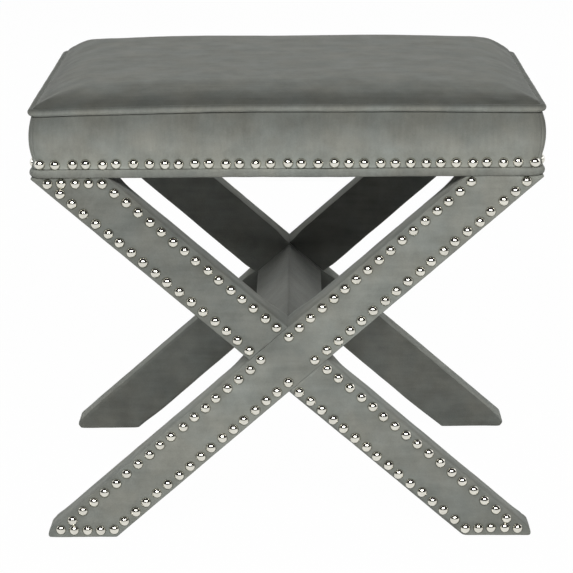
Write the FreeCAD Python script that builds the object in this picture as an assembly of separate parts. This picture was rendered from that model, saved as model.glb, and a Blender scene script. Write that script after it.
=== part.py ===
import FreeCAD, Part
import math
import os

V = FreeCAD.Vector
UP = V(0, 0, 1)

# Upholstered stool on two crossed-leg frames. Millimetres, floor at z = 0,
# front towards -Y, width along X.

# Overall sizes
seat_width = 540.0           # left to right, over the welts
seat_depth = 440.0           # front to back, over the welts
seat_underside = 400.0       # floor to the underside of the seat
band_height = 73.0           # seat underside to the middle of the top welt
crown_rise = 23.0            # edge of the cushion to its highest point

# Layers of upholstery
cover_t = 1.0                # velvet
leg_pad_t = 3.0              # felt pad under the velvet of a leg
wadding_t = 4.0              # wadding over the seat foam
soft_gap = 0.3               # clearance between rounded soft pieces
fit_gap = 0.2                # clearance between the welts and the frame

# Crossed legs
leg_width = 44.0             # timber, seen from the front
leg_depth = 40.0             # timber, front to back
leg_edge_round = 2.0         # eased edges of the timber
cover_edge_round = 5.0       # rounded edges of the covered leg
leg_tip_inset = 2.0          # tip of the covered leg, in from the seat's side
foot_tip_inset = 8.5         # cut end of the foot, in from the seat's side
lap_gap = 0.1                # clearance beside the half-lap

# Stretcher between the two leg frames
bar_side = 43.5              # timber across its faces, which run in line with the legs
bar_pad_t = 2.0
bar_edge_round = 3.0

# Seat frame
rail_height = 40.0
side_rail_t = 25.0
deck_t = 12.0
block_leg = 55.0             # short side of a corner block
block_inset = 2.0            # block is this much lower than the rail at each face

# Cushion crown
shoulder_width = 45.0        # edge of the cushion to the end of its steep part
shoulder_share = 0.80        # part of the crown that the shoulder climbs
shoulder_mid = 12.0          # point part-way up the shoulder
shoulder_mid_share = 0.385   # part of the crown climbed at that point
crown_least = 0.4            # crown left at the two end sections

# Side bands and welts
welt_d = 8.0
cord_d = 5.0                 # cord inside the welt
welt_corner_r = 12.0         # bend of the welt's middle at the seat's corners
band_standoff = 4.5          # drawn-in part of the band, out from the frame
band_bulge = 3.5             # how far the middle of the band swells out
nail_line_height = 20.0      # seat underside to the end of the drawn-in strip

# Decorative nails
nail_head_d = 10.0
nail_head_h = 3.6
nail_shank_side = 1.8        # square shank, under the head
nail_point_side = 0.5        # and at its blunt point
nail_shank_len = 12.0
nail_hole_gap = 0.05
band_nail_height = 14.2      # seat underside to the nail row
band_nail_end = 13.0         # first front nail, in from the seat's side
side_nail_end = 20.0         # first side nail, in from the seat's front
band_nail_count = 33
side_nail_count = 26
leg_nail_edge = 7.2          # nail rows, in from the edge of the covered leg
foot_nail_height = 10.3      # floor to the foot's row of nails
top_nail_drop = 6.0          # seat underside to the row at the top of a leg
outer_row_steps = 18         # nail steps from the crossing to a leg's end
inner_row_steps = 16
end_row_steps = 4            # nail steps across the end of a leg

# Glides
glide_d = 22.0
glide_h = 2.0
glide_pin_d = 3.0
glide_pin_len = 14.0

# Fasteners
bolt_d = 8.0
bolt_depth = 35.0            # into the leg
bolt_head_af = 13.0
bolt_head_h = 5.3
bolt_hole_gap = 0.5
bolt_recess_d = 20.0
bolt_recess_h = 8.0
washer_d = 16.0
washer_t = 1.6
insert_d = 12.0
insert_len = 20.0
dowel_d = 8.0
leg_dowel_len = 24.0
leg_dowel_out = 16.0         # dowel, out from the middle of the leg's top
bar_dowel_len = 36.0
bar_dowel_out = 13.0         # dowel, out from the middle of the stretcher
lag_d = 8.0
lag_depth = 50.0             # into the stretcher
lag_head_af = 13.0
lag_head_h = 6.0
lag_washer_d = 20.0
lag_washer_t = 2.0
lag_recess_d = 22.0
lag_recess_h = 9.0
screw_d = 4.0
screw_head_d = 8.0
screw_head_h = 3.0
screw_hole_gap = 0.1
block_screw_len = 40.0
block_screw_seat = 22.0      # screw head, out from the rail's face
block_screw_out = 18.0       # screw, out from the inner corner
block_screw_low = 12.0       # seat underside to the lower screw
block_screw_high = 28.0
block_recess_d = 10.0
deck_screw_len = 35.0
deck_screw_x = 150.0         # outer deck screws of the front and rear rails
deck_screw_y = 80.0          # deck screws of the side rails

# Dust cover
dust_t = 1.0
dust_edge = 4.0              # in from the frame's outside
dust_leg_gap = 1.0           # clear of the leg tops

# Derived positions
half_w = seat_width / 2
half_d = seat_depth / 2
frame_x = half_w - welt_d - fit_gap
frame_y = half_d - welt_d - fit_gap
corner_x = half_w - welt_d / 2 - welt_corner_r
corner_y = half_d - welt_d / 2 - welt_corner_r
frame_corner_r = frame_x - corner_x
rail_top = seat_underside + rail_height
deck_top = rail_top + deck_t
top_welt_z = seat_underside + band_height
bottom_welt_z = seat_underside + welt_d / 2 + soft_gap
edge_z = top_welt_z + cover_t
band_low = bottom_welt_z + welt_d / 2 + soft_gap
band_high = top_welt_z - welt_d / 2 - soft_gap
nail_strip_top = seat_underside + nail_line_height

leg_skin = leg_pad_t + cover_t
cover_width = leg_width + 2 * leg_skin
wood_front = -frame_y
wood_back = -frame_y + leg_depth
lap_y = -frame_y + leg_depth / 2
leg_face_y = wood_front - leg_skin
leg_inner_y = wood_back + leg_skin

cross_z = (glide_h + seat_underside) / 2
leg_rise = seat_underside - cross_z
leg_tip_x = half_w - leg_tip_inset
foot_tip_x = half_w - foot_tip_inset
leg_reach = math.hypot(leg_tip_x, leg_rise)
leg_angle = math.atan2(leg_rise, leg_tip_x) + math.asin(cover_width / 2 / leg_reach)
leg_sin = math.sin(leg_angle)
leg_cos = math.cos(leg_angle)
leg_tan = math.tan(leg_angle)

bolt_x = (seat_underside - bolt_depth / 2 - cross_z) / leg_tan
dowel_x = (seat_underside - leg_dowel_len / 4 - cross_z) / leg_tan + leg_dowel_out


def leg_x(z, offset):
    """X of a line along the rising leg, offset to its upper side."""
    return (z - cross_z) / leg_tan - offset / leg_sin


def mirror_x(points):
    return [(-x, z) for x, z in points]


def prism(points, y0, y1):
    """Solid with an XZ outline, from y0 to y1."""
    corners = [V(x, y0, z) for x, z in points]
    face = Part.Face(Part.makePolygon(corners + [corners[0]]))
    return face.extrude(V(0, y1 - y0, 0))


def box(x0, x1, y0, y1, z0, z1):
    return Part.makeBox(x1 - x0, y1 - y0, z1 - z0, V(x0, y0, z0))


def rod(d, length, start, direction):
    return Part.makeCylinder(d / 2, length, start, direction)


def hex_prism(flats, height, start, direction):
    radius = flats / math.sqrt(3)
    points = [V(radius * math.cos(math.radians(a)), radius * math.sin(math.radians(a)), 0)
              for a in range(0, 360, 60)]
    body = Part.Face(Part.makePolygon(points + [points[0]])).extrude(V(0, 0, height))
    body.Placement = FreeCAD.Placement(start, FreeCAD.Rotation(UP, direction))
    return body


def turned(shape):
    """The same piece on the opposite side, half a turn about the middle."""
    copy = shape.copy()
    copy.rotate(V(0, 0, 0), UP, 180)
    return copy


def mirrored(shape, normal):
    return shape.mirror(V(0, 0, 0), normal)


def four(shape):
    """A piece at each of the four corners."""
    pair = [shape, mirrored(shape, V(1, 0, 0))]
    return pair + [mirrored(p, V(0, 1, 0)) for p in pair]


def group(shapes):
    return Part.makeCompound(shapes)


def drill(body, tools):
    return body.cut(group(tools)) if tools else body


def save(name, shape):
    shape.exportStep("parts/" + name + ".step")


# Crossed legs

def leg_outline(width, skin):
    """Rising leg from its cut foot at the left to its top at the right."""
    low = glide_h + cover_t if skin < leg_skin else glide_h
    tip = -(foot_tip_x - leg_skin + skin)
    half = width / 2
    shoulder_z = cross_z + leg_tan * (half / leg_sin + tip)
    return [(tip, low), (leg_x(low, -half), low), (leg_x(seat_underside, -half), seat_underside),
            (leg_x(seat_underside, half), seat_underside), (tip, shoulder_z)]


def rounded_leg(skin, radius, falling):
    """Leg grown by a skin, with its long edges rounded."""
    points = leg_outline(leg_width + 2 * skin, skin)
    if falling:
        points = mirror_x(points)
    body = prism(points, wood_front - skin, wood_back + skin)
    way = V(-leg_cos, 0, leg_sin) if falling else V(leg_cos, 0, leg_sin)
    edges = []
    for edge in body.Edges:
        run = edge.Vertexes[1].Point.sub(edge.Vertexes[0].Point)
        if run.Length > leg_rise and abs(run.normalize().dot(way)) > 0.999:
            edges.append(edge)
    return body.makeFillet(radius, edges)


def sharp_leg(width, falling, y0, y1):
    """Endless strip along a leg, for cutting its neighbours."""
    reach = 2 * leg_reach
    half = width / 2
    points = [(-reach * leg_cos + half * leg_sin, cross_z - reach * leg_sin - half * leg_cos),
              (reach * leg_cos + half * leg_sin, cross_z + reach * leg_sin - half * leg_cos),
              (reach * leg_cos - half * leg_sin, cross_z + reach * leg_sin + half * leg_cos),
              (-reach * leg_cos - half * leg_sin, cross_z - reach * leg_sin + half * leg_cos)]
    if falling:
        points = mirror_x(points)
    return prism(points, y0, y1)


def above_crossing(shape, upper):
    size = 2 * half_w
    z0 = cross_z if upper else cross_z - size
    return shape.common(box(-size, size, -size, size, z0, z0 + size))


# Decorative nails

def nail_shank(gap):
    """Tapered square shank along +Y, or its hole when there is a gap."""
    head = nail_shank_side / 2 + gap
    point = nail_point_side / 2 + gap
    return Part.makeWedge(-head, 0, -head, -point, -point,
                          head, nail_shank_len + gap, head, point, point)


def nail():
    """Domed nail pointing along +Y, its rim in the plane y = 0."""
    rim = nail_head_d / 2
    dome_r = (rim * rim + nail_head_h * nail_head_h) / (2 * nail_head_h)
    centre = dome_r - nail_head_h
    slant = (math.asin(centre / dome_r) + math.pi / 2) / 2
    middle = V(dome_r * math.cos(slant), centre - dome_r * math.sin(slant), 0)
    dome = Part.Arc(V(0, -nail_head_h, 0), middle, V(rim, 0, 0)).toShape()
    rest = Part.makePolygon([V(rim, 0, 0), V(0, 0, 0), V(0, -nail_head_h, 0)])
    head = Part.Face(Part.Wire([dome] + rest.Edges)).revolve(V(0, 0, 0), V(0, 1, 0), 360)
    return head.fuse(nail_shank(0)).removeSplitter()


def nail_hole():
    return nail_shank(nail_hole_gap)


def placed(shape, spots):
    """Copies of a front-facing piece at the spots (position, turn about Z)."""
    copies = []
    for position, turn in spots:
        copy = shape.copy()
        copy.Placement = FreeCAD.Placement(position, FreeCAD.Rotation(UP, turn))
        copies.append(copy)
    return copies


def leg_nail_points():
    """XZ points of the nails on the face of one crossed frame."""
    row = cover_width / 2 - leg_nail_edge
    top_z = seat_underside - top_nail_drop
    side = (row / leg_sin, cross_z)
    high = (0.0, cross_z + row / leg_cos)
    low = (0.0, cross_z - row / leg_cos)
    points = [side, (-side[0], side[1]), high, low]
    for sign in (1, -1):
        for start, end_z, offset, steps in ((side, top_z, -row, outer_row_steps),
                                            (high, top_z, row, inner_row_steps)):
            end = (leg_x(end_z, offset), end_z)
            points += [(sign * (start[0] + (end[0] - start[0]) * i / steps),
                        start[1] + (end[1] - start[1]) * i / steps) for i in range(1, steps + 1)]
        for start, end_z, offset, steps in ((side, foot_nail_height, -row, outer_row_steps),
                                            (low, foot_nail_height, row, inner_row_steps)):
            end = (-leg_x(end_z, -offset), end_z)
            points += [(sign * (start[0] + (end[0] - start[0]) * i / steps),
                        start[1] + (end[1] - start[1]) * i / steps) for i in range(1, steps + 1)]
        points += end_row(sign, foot_nail_height, -leg_x(foot_nail_height, row), row)
    points += end_row(-1, top_z, leg_x(top_z, -row), row)
    return points


def end_row(sign, z, outer, row):
    """Nails across a leg's end, between its two long rows."""
    inner = outer - 2 * row / leg_sin
    step = (outer - inner) / end_row_steps
    return [(sign * (inner + step * i), z) for i in range(1, end_row_steps)]


def on_rising_leg(point):
    return abs(point[0] * leg_sin - (point[1] - cross_z) * leg_cos) < cover_width / 2


# Pieces that pass through the crossed frame

def bar_prism(side, y0, y1):
    """Length of stretcher section, its four faces in line with the two legs."""
    reach = side / 2 / leg_sin
    rise = side / 2 / leg_cos
    points = [(-reach, cross_z), (0, cross_z - rise), (reach, cross_z), (0, cross_z + rise)]
    return prism(points, y0, y1)


def bar_dowels(gap):
    start = wood_back - bar_dowel_len / 2 - gap
    return [rod(dowel_d + 2 * gap, bar_dowel_len + 2 * gap, V(x, start, cross_z), V(0, 1, 0))
            for x in (-bar_dowel_out, bar_dowel_out)]


def lag_tools():
    """Hole and recess of the lag screw through the crossing."""
    start = V(0, wood_front, cross_z)
    hole = rod(lag_d + 2 * screw_hole_gap, lag_depth + leg_depth + 1, start, V(0, 1, 0))
    recess = rod(lag_recess_d, lag_recess_h, start, V(0, 1, 0))
    return [hole, recess]


def lag_screw():
    seat = wood_front + lag_recess_h - lag_washer_t
    start = V(0, seat, cross_z)
    shank = rod(lag_d, wood_back - seat + lag_depth, start, V(0, 1, 0))
    head = hex_prism(lag_head_af, lag_head_h, start, V(0, -1, 0))
    return shank.fuse(head).removeSplitter()


def lag_washer():
    seat = V(0, wood_front + lag_recess_h, cross_z)
    plate = rod(lag_washer_d, lag_washer_t, seat, V(0, -1, 0))
    return plate.cut(rod(lag_d + 2 * screw_hole_gap, lag_washer_t, seat, V(0, -1, 0)))


def leg_bolt(x):
    y = (wood_front + wood_back) / 2
    seat = rail_top - bolt_recess_h
    length = seat + washer_t - seat_underside + bolt_depth
    start = V(x, y, seat + washer_t)
    shank = rod(bolt_d, length, start, V(0, 0, -1))
    return shank.fuse(hex_prism(bolt_head_af, bolt_head_h, start, UP)).removeSplitter()


def leg_washer(x):
    y = (wood_front + wood_back) / 2
    seat = V(x, y, rail_top - bolt_recess_h)
    return rod(washer_d, washer_t, seat, UP).cut(rod(bolt_d + 2 * screw_hole_gap, washer_t, seat, UP))


def leg_insert(x):
    y = (wood_front + wood_back) / 2
    start = V(x, y, seat_underside)
    return rod(insert_d, insert_len, start, V(0, 0, -1)).cut(rod(bolt_d, insert_len, start, V(0, 0, -1)))


def leg_dowel(x, gap):
    y = (wood_front + wood_back) / 2
    start = V(x, y, seat_underside - leg_dowel_len / 2 - gap)
    return rod(dowel_d + 2 * gap, leg_dowel_len + 2 * gap, start, UP)


def leg_top_tools(x):
    y = (wood_front + wood_back) / 2
    start = V(x, y, seat_underside)
    side = math.copysign(dowel_x, x)
    return [rod(insert_d, insert_len, start, V(0, 0, -1)),
            rod(bolt_d + 2 * screw_hole_gap, bolt_depth + 1, start, V(0, 0, -1)), leg_dowel(side, 0)]


def glide(x):
    y = (wood_front + wood_back) / 2
    disc = rod(glide_d, glide_h, V(x, y, 0), UP)
    return disc.fuse(rod(glide_pin_d, glide_h + glide_pin_len, V(x, y, 0), UP)).removeSplitter()


def glide_hole(x):
    y = (wood_front + wood_back) / 2
    return rod(glide_pin_d + 2 * screw_hole_gap, glide_pin_len + 1, V(x, y, glide_h), UP)


def build_legs():
    """Front crossed frame, and the rear one as its half turn."""
    reach = leg_depth + half_d
    rising_strip = sharp_leg(leg_width + 2 * lap_gap, False, wood_front - 1, wood_back + 1)
    falling_strip = sharp_leg(leg_width + 2 * lap_gap, True, wood_front - 1, wood_back + 1)
    front_half = box(-reach, reach, wood_front - 1, lap_y, 0, 2 * seat_underside)
    back_half = box(-reach, reach, lap_y, wood_back + 1, 0, 2 * seat_underside)
    cover_strip = sharp_leg(cover_width, False, -half_d, 0)
    foot_x = -(foot_tip_x - leg_x(glide_h, -cover_width / 2)) / 2
    spots = leg_nail_points()
    rising_spots = [(V(x, leg_face_y, z), 0) for x, z in spots if on_rising_leg((x, z))]
    falling_spots = [(V(x, leg_face_y, z), 0) for x, z in spots if not on_rising_leg((x, z))]
    rising_holes = placed(nail_hole(), rising_spots)
    falling_holes = placed(nail_hole(), falling_spots)

    wood = {}
    skin = {}
    for falling in (False, True):
        wood[falling] = rounded_leg(0, leg_edge_round, falling)
        pad = rounded_leg(leg_pad_t, cover_edge_round - cover_t, falling)
        cover = rounded_leg(leg_skin, cover_edge_round, falling)
        skin[falling] = (pad.cut(wood[falling]), cover.cut(pad))

    rising = wood[False].cut(falling_strip.common(back_half))
    falling = wood[True].cut(rising_strip.common(front_half))
    bar_window = bar_prism(bar_side + 2 * lap_gap, wood_back - 1, 0)
    window = [falling_strip, bar_window]
    rising_tools = lag_tools() + leg_top_tools(bolt_x) + [glide_hole(foot_x)] + rising_holes
    falling_tools = lag_tools() + leg_top_tools(-bolt_x) + [glide_hole(-foot_x)] + falling_holes
    pieces = {
        "long_leg": drill(rising, rising_tools),
        "lapped_leg": drill(falling, falling_tools + bar_dowels(0)),
        "long_leg_pad": drill(skin[False][0], window + rising_holes),
        "long_leg_cover": drill(skin[False][1], window + rising_holes + [glide_hole(foot_x)]),
    }
    for upper, word in ((True, "upper"), (False, "lower")):
        pad = above_crossing(skin[True][0].cut(cover_strip), upper)
        cover = above_crossing(skin[True][1].cut(cover_strip), upper)
        pieces[word + "_leg_pad"] = drill(pad, falling_holes + [bar_window])
        pieces[word + "_leg_cover"] = drill(cover, falling_holes + [glide_hole(-foot_x), bar_window])
    for name, shape in pieces.items():
        body = shape.Solids[0] if len(shape.Solids) == 1 else shape
        save("front_" + name, body)
        save("rear_" + name, turned(body))

    nails = group(placed(nail(), rising_spots + falling_spots))
    save("front_leg_nails", nails)
    save("rear_leg_nails", turned(nails))
    save("foot_glides", group(four(glide(foot_x))))
    save("leg_bolts", group(four(leg_bolt(bolt_x))))
    save("leg_washers", group(four(leg_washer(bolt_x))))
    save("leg_inserts", group(four(leg_insert(bolt_x))))
    save("leg_dowels", group(four(leg_dowel(dowel_x, 0))))


def build_stretcher():
    wood = bar_prism(bar_side, wood_back, -wood_back)
    pad_side = bar_side + 2 * bar_pad_t
    pad = rounded_bar(pad_side, bar_edge_round - cover_t)
    cover = rounded_bar(pad_side + 2 * cover_t, bar_edge_round)
    ends = lag_tools() + bar_dowels(0)
    save("stretcher_bar", drill(wood, ends + [turned(t) for t in ends]))
    save("stretcher_pad", pad.cut(wood))
    save("stretcher_cover", cover.cut(pad))
    for name, shapes in (("stretcher_screws", [lag_screw()]), ("stretcher_washers", [lag_washer()]),
                         ("stretcher_dowels", bar_dowels(0))):
        save(name, group(shapes + [turned(s) for s in shapes]))


def rounded_bar(side, radius):
    body = bar_prism(side, leg_inner_y, -leg_inner_y)
    edges = [e for e in body.Edges if e.BoundBox.YLength > leg_depth]
    return body.makeFillet(radius, edges)


# Seat frame

def screw(head, direction, length):
    """Countersunk wood screw, its flat top at the head point."""
    cone = Part.makeCone(screw_head_d / 2, screw_d / 2, screw_head_h, head, direction)
    return cone.fuse(rod(screw_d, length, head, direction)).removeSplitter()


def screw_tool(head, direction, length):
    gap = 2 * screw_hole_gap
    cone = Part.makeCone(screw_head_d / 2 + screw_hole_gap, screw_d / 2, screw_head_h, head, direction)
    return cone.fuse(rod(screw_d + gap, length + 1, head, direction))


def block_screw_heads():
    """Heads of the two screws of the front left corner block."""
    x = -(frame_x - side_rail_t)
    y = wood_back
    return [(V(x + block_screw_out, y + block_screw_seat, seat_underside + block_screw_low), V(0, -1, 0)),
            (V(x + block_screw_seat, y + block_screw_out, seat_underside + block_screw_high), V(-1, 0, 0))]


def deck_screw_heads():
    y = (wood_front + wood_back) / 2
    x = frame_x - side_rail_t / 2
    heads = [(px, py) for px in (-deck_screw_x, 0, deck_screw_x) for py in (y, -y)]
    heads += [(px, py) for px in (-x, x) for py in (-deck_screw_y, deck_screw_y)]
    return [V(px, py, deck_top) for px, py in heads]


def band_nail_spots():
    """Nail spots of the four bands, by side name."""
    z = seat_underside + band_nail_height
    face_y = frame_y + band_standoff
    face_x = frame_x + band_standoff
    end_x = half_w - band_nail_end
    end_y = half_d - side_nail_end
    front = [-end_x + 2 * end_x * i / (band_nail_count - 1) for i in range(band_nail_count)]
    side = [-end_y + 2 * end_y * i / (side_nail_count - 1) for i in range(side_nail_count)]
    return {"front": [(V(x, -face_y, z), 0) for x in front],
            "rear": [(V(x, face_y, z), 180) for x in front],
            "left": [(V(-face_x, y, z), -90) for y in side],
            "right": [(V(face_x, y, z), 90) for y in side]}


def rounded_plate(z0, z1):
    """Frame-sized plate with rounded corners."""
    plate = box(-frame_x, frame_x, -frame_y, frame_y, z0, z1)
    edges = [e for e in plate.Edges if e.BoundBox.ZLength > (z1 - z0) / 2]
    return plate.makeFillet(frame_corner_r, edges)


def build_frame(nail_holes):
    y = (wood_front + wood_back) / 2
    ring = rounded_plate(seat_underside, rail_top)
    front = ring.common(box(-half_w, half_w, wood_front, wood_back, 0, 2 * seat_underside))
    inner_x = frame_x - side_rail_t
    left = ring.common(box(-half_w, -inner_x, wood_back, -wood_back, 0, 2 * seat_underside))
    block_screws = [screw(h, d, block_screw_len) for h, d in block_screw_heads()]
    block_tools = [screw_tool(h, d, block_screw_len) for h, d in block_screw_heads()]
    deck_tools = [screw_tool(h, V(0, 0, -1), deck_screw_len) for h in deck_screw_heads()]
    bolt_tools = []
    for x in (-bolt_x, bolt_x):
        bolt_tools.append(rod(bolt_d + 2 * bolt_hole_gap, rail_height, V(x, y, seat_underside), UP))
        bolt_tools.append(rod(bolt_recess_d, bolt_recess_h, V(x, y, rail_top), V(0, 0, -1)))
        bolt_tools.append(leg_dowel(math.copysign(dowel_x, x), 0))
    corner_tools = [t for tool in block_tools for t in four(tool)]
    shared_tools = deck_tools + corner_tools + nail_holes["left"] + nail_holes["right"]
    front_tools = bolt_tools + shared_tools
    rear_tools = [turned(t) for t in bolt_tools] + shared_tools
    save("front_rail", drill(front, front_tools + nail_holes["front"]))
    save("rear_rail", drill(turned(front), rear_tools + nail_holes["rear"]))
    save("left_rail", drill(left, deck_tools + corner_tools + nail_holes["left"]))
    save("right_rail", drill(turned(left), deck_tools + corner_tools + nail_holes["right"]))

    corner = V(-inner_x, wood_back, seat_underside + block_inset)
    outline = [corner, corner + V(block_leg, 0, 0), corner + V(0, block_leg, 0), corner]
    block = Part.Face(Part.makePolygon(outline)).extrude(V(0, 0, rail_height - 2 * block_inset))
    recesses = [rod(block_recess_d, block_leg, h, V(0, 0, 0) - d) for h, d in block_screw_heads()]
    save("corner_blocks", group(four(drill(block, block_tools + recesses))))
    save("corner_screws", group([s for part in block_screws for s in four(part)]))
    save("seat_deck", drill(rounded_plate(rail_top, deck_top), deck_tools))
    save("deck_screws", group([screw(h, V(0, 0, -1), deck_screw_len) for h in deck_screw_heads()]))


def build_dust_cover():
    """Sheet under the rails, cut away around the four leg tops."""
    low = seat_underside - dust_t
    leg_x_in = leg_x(low, cover_width / 2) - dust_leg_gap
    leg_y_in = -leg_inner_y - dust_leg_gap
    long_x = frame_x - dust_edge
    long_y = frame_y - dust_edge
    wide = box(-long_x, long_x, -leg_y_in, leg_y_in, low, seat_underside)
    deep = box(-leg_x_in, leg_x_in, -long_y, long_y, low, seat_underside)
    save("dust_cover", wide.fuse(deep).removeSplitter())


# Cushion

def rise_share(distance, half):
    """Share of the crown reached at a distance in from an edge."""
    if distance < shoulder_width:
        climb = math.log(1 - shoulder_mid_share / shoulder_share)
        climb /= math.log(1 - shoulder_mid / shoulder_width)
        return shoulder_share * (1 - (1 - distance / shoulder_width) ** climb)
    rest = (distance - shoulder_width) / (half - shoulder_width)
    return shoulder_share + (1 - shoulder_share) * (1 - (1 - rest) ** 2)


def cushion_section(x, rise):
    """Closed YZ outline of the cushion: flat base, upright sides, two shoulders and a crown."""
    def at(y, z):
        return V(x, y, z)

    base = rail_top
    mid_y = frame_y - shoulder_mid
    top_y = frame_y - shoulder_width
    mid_z = edge_z + rise * shoulder_mid_share
    top_z = edge_z + rise * shoulder_share
    right = Part.Arc(at(frame_y, edge_z), at(mid_y, mid_z), at(top_y, top_z)).toShape()
    crown = Part.Arc(at(top_y, top_z), at(0, edge_z + rise), at(-top_y, top_z)).toShape()
    left = Part.Arc(at(-top_y, top_z), at(-mid_y, mid_z), at(-frame_y, edge_z)).toShape()
    sides = Part.makePolygon([at(-frame_y, edge_z), at(-frame_y, base),
                              at(frame_y, base), at(frame_y, edge_z)])
    return Part.Wire([right, crown, left] + sides.Edges)


def cushion_stations():
    """Distances in from the side edge where the crown is drawn."""
    steep = [shoulder_mid / 3, shoulder_mid, 2 * shoulder_mid, shoulder_width]
    inner = frame_x - shoulder_width
    return steep + [shoulder_width + inner / 3, shoulder_width + 2 * inner / 3]


def cushion():
    """Crowned block, its top the outer face of the seat cover."""
    sections = [cushion_section(-frame_x, crown_least)]
    near = [(d, max(crown_least, crown_rise * rise_share(d, frame_x))) for d in cushion_stations()]
    sections += [cushion_section(-frame_x + d, r) for d, r in near]
    sections.append(cushion_section(0, crown_rise))
    sections += [cushion_section(frame_x - d, r) for d, r in reversed(near)]
    sections.append(cushion_section(frame_x, crown_least))
    block = Part.makeLoft(sections, True, False)
    return block.common(rounded_plate(rail_top, edge_z + 2 * crown_rise))


def build_cushion():
    outer = cushion()
    under_cover = outer.translated(V(0, 0, -cover_t))
    under_wadding = outer.translated(V(0, 0, -cover_t - wadding_t))
    above_deck = rounded_plate(deck_top, edge_z + 2 * crown_rise)
    save("seat_cover", outer.cut(under_cover).common(above_deck))
    save("seat_wadding", under_cover.cut(under_wadding).common(above_deck))
    save("seat_foam", under_wadding.common(above_deck))


# Side bands and welts

def swept_side(face, half_x, turn):
    """Front YZ outline run along a side and half-way round the corner at each end."""
    straight = face.translated(V(-half_x, 0, 0)).extrude(V(2 * half_x, 0, 0))
    right = face.translated(V(half_x, 0, 0)).revolve(V(half_x, turn, 0), UP, 45)
    left = face.translated(V(-half_x, 0, 0)).revolve(V(-half_x, turn, 0), UP, -45)
    return straight.fuse([right, left]).removeSplitter()


def both_pairs(make_face):
    """Four sides of a seat-sized ring, from an outline drawn at a frame face."""
    front = swept_side(make_face(-frame_y), corner_x, -corner_y)
    side = swept_side(make_face(-frame_x), corner_y, -corner_x)
    left = side.copy()
    left.rotate(V(0, 0, 0), UP, -90)
    return {"front": front, "rear": turned(front), "left": left, "right": turned(left)}


def band_edge(face_y, out):
    """Points of one face of the band: drawn-in strip below, swelling above."""
    middle = (nail_strip_top + band_high) / 2
    return [V(0, face_y - out, band_low), V(0, face_y - out, nail_strip_top),
            V(0, face_y - out - band_bulge, middle), V(0, face_y - out, band_high)]


def band_face(face_y):
    outer = band_edge(face_y, band_standoff)
    inner = band_edge(face_y, band_standoff - cover_t)
    edges = [Part.makeLine(outer[0], outer[1]), Part.Arc(outer[1], outer[2], outer[3]).toShape(),
             Part.makeLine(outer[3], inner[3]), Part.Arc(inner[3], inner[2], inner[1]).toShape(),
             Part.makeLine(inner[1], inner[0]), Part.makeLine(inner[0], outer[0])]
    return Part.Face(Part.Wire(edges))


def band_pad_face(face_y):
    outer = band_edge(face_y, band_standoff - cover_t)
    foot = V(0, face_y, band_low)
    head = V(0, face_y, band_high)
    edges = [Part.makeLine(outer[0], outer[1]), Part.Arc(outer[1], outer[2], outer[3]).toShape(),
             Part.makeLine(outer[3], head), Part.makeLine(head, foot), Part.makeLine(foot, outer[0])]
    return Part.Face(Part.Wire(edges))


def welt_ring(diameter, z):
    """Round cord run right round the seat."""
    def face(face_y):
        middle = V(0, face_y - fit_gap - welt_d / 2, z)
        circle = Part.makeCircle(diameter / 2, middle, V(1, 0, 0))
        return Part.Face(Part.Wire([circle]))

    sides = both_pairs(face)
    return sides["front"].fuse([sides["rear"], sides["left"], sides["right"]]).removeSplitter()


def build_bands(nail_holes):
    covers = both_pairs(band_face)
    pads = both_pairs(band_pad_face)
    spots = band_nail_spots()
    for side in ("front", "rear", "left", "right"):
        save(side + "_band", drill(covers[side], nail_holes[side]))
        save(side + "_band_pad", drill(pads[side], nail_holes[side]))
        save(side + "_band_nails", group(placed(nail(), spots[side])))
    for word, z in (("top", top_welt_z), ("bottom", bottom_welt_z)):
        cord = welt_ring(cord_d, z)
        save(word + "_welt_cord", cord)
        save(word + "_welt", welt_ring(welt_d, z).cut(cord))


def main():
    os.makedirs("parts", exist_ok=True)
    nail_holes = {side: placed(nail_hole(), spots) for side, spots in band_nail_spots().items()}
    build_legs()
    build_stretcher()
    build_frame(nail_holes)
    build_dust_cover()
    build_cushion()
    build_bands(nail_holes)


main()
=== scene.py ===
import math
import random

import bmesh
import bpy
from mathutils import Matrix, Vector, noise


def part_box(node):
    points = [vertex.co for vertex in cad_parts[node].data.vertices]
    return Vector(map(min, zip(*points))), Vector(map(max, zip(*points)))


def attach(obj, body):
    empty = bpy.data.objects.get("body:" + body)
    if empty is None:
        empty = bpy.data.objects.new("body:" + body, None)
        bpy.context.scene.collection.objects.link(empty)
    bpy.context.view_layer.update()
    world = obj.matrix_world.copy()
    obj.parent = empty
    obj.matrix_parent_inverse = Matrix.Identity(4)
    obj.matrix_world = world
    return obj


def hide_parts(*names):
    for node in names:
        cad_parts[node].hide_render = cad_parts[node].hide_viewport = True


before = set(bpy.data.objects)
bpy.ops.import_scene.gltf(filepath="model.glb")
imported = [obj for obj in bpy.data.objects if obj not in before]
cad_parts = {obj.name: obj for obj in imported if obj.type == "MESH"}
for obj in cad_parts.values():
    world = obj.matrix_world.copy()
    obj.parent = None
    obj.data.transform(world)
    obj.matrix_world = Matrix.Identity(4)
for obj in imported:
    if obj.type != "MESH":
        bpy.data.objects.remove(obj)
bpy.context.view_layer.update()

scene = bpy.context.scene
scene.view_settings.view_transform = "Standard"

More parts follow.
